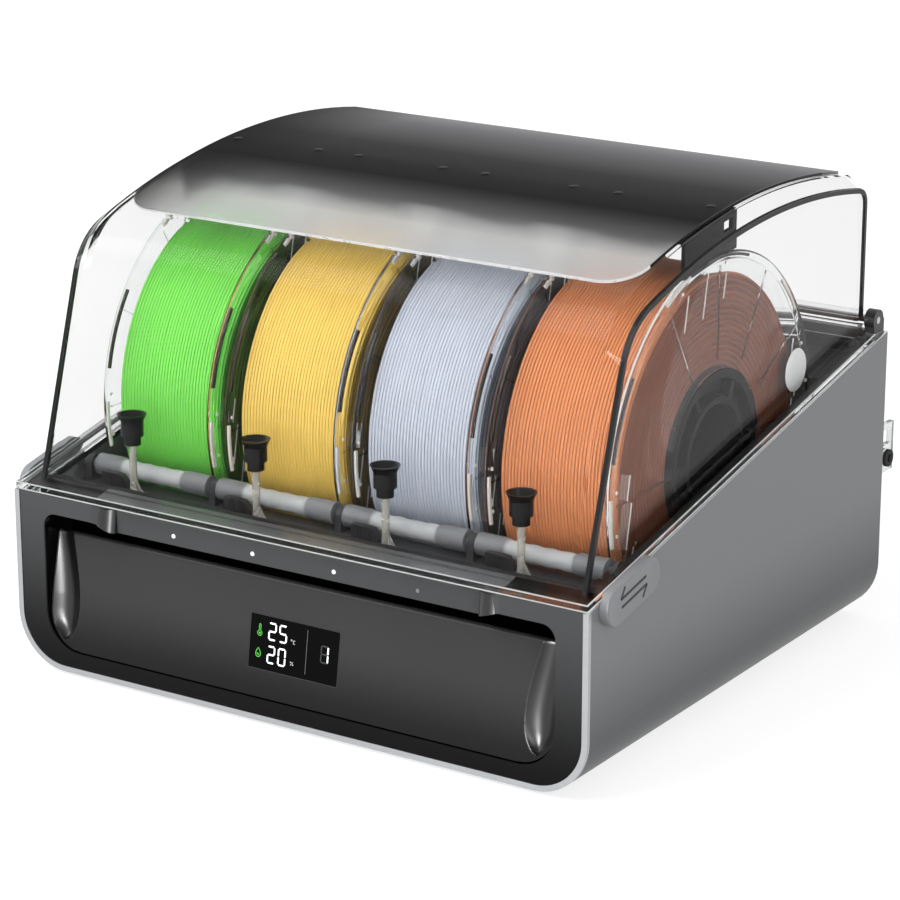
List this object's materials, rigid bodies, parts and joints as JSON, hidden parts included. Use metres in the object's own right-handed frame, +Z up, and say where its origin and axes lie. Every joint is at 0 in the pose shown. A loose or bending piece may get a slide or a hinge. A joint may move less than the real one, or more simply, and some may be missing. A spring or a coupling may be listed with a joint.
{
  "type": "filament dryer box",
  "caption": "Filament dryer box with a sloping base, tilted display fascia, clear arched lid on a rear hinge, side latches, and reels of filament that turn on roller bars under feed funnels.",
  "frame": {"origin": "on the floor, under the middle of the overall box", "axes": "+X to the right seen from the front, +Y to the rear, +Z up"},
  "size_m": [0.3706, 0.34, 0.2686],
  "materials": {
    "grey_shell": "satin",
    "silver_trim": "satin",
    "black_gloss": "gloss",
    "display_glass": "gloss",
    "board_green": "satin",
    "light_lens": "gloss",
    "dark_plastic": "matte",
    "black_plastic": "satin",
    "clear_tube": "clear",
    "rubber_black": "matte",
    "steel": "brushed",
    "clear_lid": "clear",
    "smoked_panel": "frosted",
    "latch_grey": "satin",
    "clear_flange": "clear",
    "hub_black": "satin",
    "roller_grey": "satin",
    "filament_green": "satin",
    "filament_yellow": "satin",
    "filament_grey": "satin",
    "filament_orange": "satin"
  },
  "bodies": {
    "base": {"base_shell": "grey_shell", "front_edge_trim": "silver_trim", "feet": "rubber_black", "front_bezel": "black_gloss", "status_lights": "light_lens", "display_fascia": "black_gloss", "display_window": "display_glass", "control_board": "board_green", "feed_deck": "dark_plastic", "feed_funnels": "black_plastic", "feed_tubes": "clear_tube", "feed_gates": "black_plastic", "feeder_modules": "dark_plastic", "reel_tray": "dark_plastic", "tray_screws": "steel", "desiccant_cases": "black_plastic", "rear_deck": "dark_plastic", "rear_clip": "clear_tube", "clip_grommet": "rubber_black", "outlet_block": "black_plastic", "power_socket": "black_plastic", "hinge_pins": "steel", "rim_seal": "rubber_black", "roller_axles": "steel"},
    "lid": {"lid_shell": "clear_lid", "lid_top_panel": "smoked_panel", "lid_bar": "black_plastic", "reel_stops": "black_plastic", "lid_screws": "steel"},
    "latch_left": {"latch_left": "latch_grey"},
    "latch_right": {"latch_right": "latch_grey"},
    "reel_1": {"reel_1_left_flange": "clear_flange", "reel_1_right_flange": "clear_flange", "reel_1_hub": "hub_black", "filament_1_pack": "filament_green", "filament_1_turns": "filament_green"},
    "front_roller_1": {"front_roller_1": "roller_grey"},
    "rear_roller_1": {"rear_roller_1": "roller_grey"},
    "reel_2": {"reel_2_left_flange": "clear_flange", "reel_2_right_flange": "clear_flange", "reel_2_hub": "hub_black", "filament_2_pack": "filament_yellow", "filament_2_turns": "filament_yellow"},
    "front_roller_2": {"front_roller_2": "roller_grey"},
    "rear_roller_2": {"rear_roller_2": "roller_grey"},
    "reel_3": {"reel_3_left_flange": "clear_flange", "reel_3_right_flange": "clear_flange", "reel_3_hub": "hub_black", "filament_3_pack": "filament_grey", "filament_3_turns": "filament_grey"},
    "front_roller_3": {"front_roller_3": "roller_grey"},
    "rear_roller_3": {"rear_roller_3": "roller_grey"},
    "reel_4": {"reel_4_left_flange": "clear_flange", "reel_4_right_flange": "clear_flange", "reel_4_hub": "hub_black", "filament_4_pack": "filament_orange", "filament_4_turns": "filament_orange"},
    "front_roller_4": {"front_roller_4": "roller_grey"},
    "rear_roller_4": {"rear_roller_4": "roller_grey"}
  },
  "joints": [
    {"name": "lid_hinge", "type": "hinge", "parent": "base", "child": "lid", "pos_m": [0, 0.145, 0.176], "axis": [-1, 0, 0], "range_deg": [0, 80]},
    {"name": "latch_left_slide", "type": "slide", "parent": "base", "child": "latch_left", "axis": [0, 0.9787, 0.2052], "range_m": [0, 0.01]},
    {"name": "latch_right_slide", "type": "slide", "parent": "base", "child": "latch_right", "axis": [0, 0.9787, 0.2052], "range_m": [0, 0.01]},
    {"name": "reel_1_spin", "type": "hinge", "parent": "base", "child": "reel_1", "pos_m": [-0.123, -0.009, 0.136], "axis": [1, 0, 0], "continuous": true},
    {"name": "front_roller_1_spin", "type": "hinge", "parent": "base", "child": "front_roller_1", "pos_m": [-0.123, -0.11904, 0.1051], "axis": [1, 0, 0], "continuous": true},
    {"name": "rear_roller_1_spin", "type": "hinge", "parent": "base", "child": "rear_roller_1", "pos_m": [-0.123, 0.0566, 0.0424], "axis": [1, 0, 0], "continuous": true},
    {"name": "reel_2_spin", "type": "hinge", "parent": "base", "child": "reel_2", "pos_m": [-0.041, -0.009, 0.136], "axis": [1, 0, 0], "continuous": true},
    {"name": "front_roller_2_spin", "type": "hinge", "parent": "base", "child": "front_roller_2", "pos_m": [-0.041, -0.11904, 0.1051], "axis": [1, 0, 0], "continuous": true},
    {"name": "rear_roller_2_spin", "type": "hinge", "parent": "base", "child": "rear_roller_2", "pos_m": [-0.041, 0.0566, 0.0424], "axis": [1, 0, 0], "continuous": true},
    {"name": "reel_3_spin", "type": "hinge", "parent": "base", "child": "reel_3", "pos_m": [0.041, -0.009, 0.136], "axis": [1, 0, 0], "continuous": true},
    {"name": "front_roller_3_spin", "type": "hinge", "parent": "base", "child": "front_roller_3", "pos_m": [0.041, -0.11904, 0.1051], "axis": [1, 0, 0], "continuous": true},
    {"name": "rear_roller_3_spin", "type": "hinge", "parent": "base", "child": "rear_roller_3", "pos_m": [0.041, 0.0566, 0.0424], "axis": [1, 0, 0], "continuous": true},
    {"name": "reel_4_spin", "type": "hinge", "parent": "base", "child": "reel_4", "pos_m": [0.123, -0.009, 0.136], "axis": [1, 0, 0], "continuous": true},
    {"name": "front_roller_4_spin", "type": "hinge", "parent": "base", "child": "front_roller_4", "pos_m": [0.123, -0.11904, 0.1051], "axis": [1, 0, 0], "continuous": true},
    {"name": "rear_roller_4_spin", "type": "hinge", "parent": "base", "child": "rear_roller_4", "pos_m": [0.123, 0.0566, 0.0424], "axis": [1, 0, 0], "continuous": true}
  ],
  "couplings": [
    {"joint": "front_roller_1_spin", "follows": "reel_1_spin", "ratio": -18},
    {"joint": "rear_roller_1_spin", "follows": "reel_1_spin", "ratio": -18},
    {"joint": "front_roller_2_spin", "follows": "reel_2_spin", "ratio": -18},
    {"joint": "rear_roller_2_spin", "follows": "reel_2_spin", "ratio": -18},
    {"joint": "front_roller_3_spin", "follows": "reel_3_spin", "ratio": -18},
    {"joint": "rear_roller_3_spin", "follows": "reel_3_spin", "ratio": -18},
    {"joint": "front_roller_4_spin", "follows": "reel_4_spin", "ratio": -18},
    {"joint": "rear_roller_4_spin", "follows": "reel_4_spin", "ratio": -18}
  ]
}
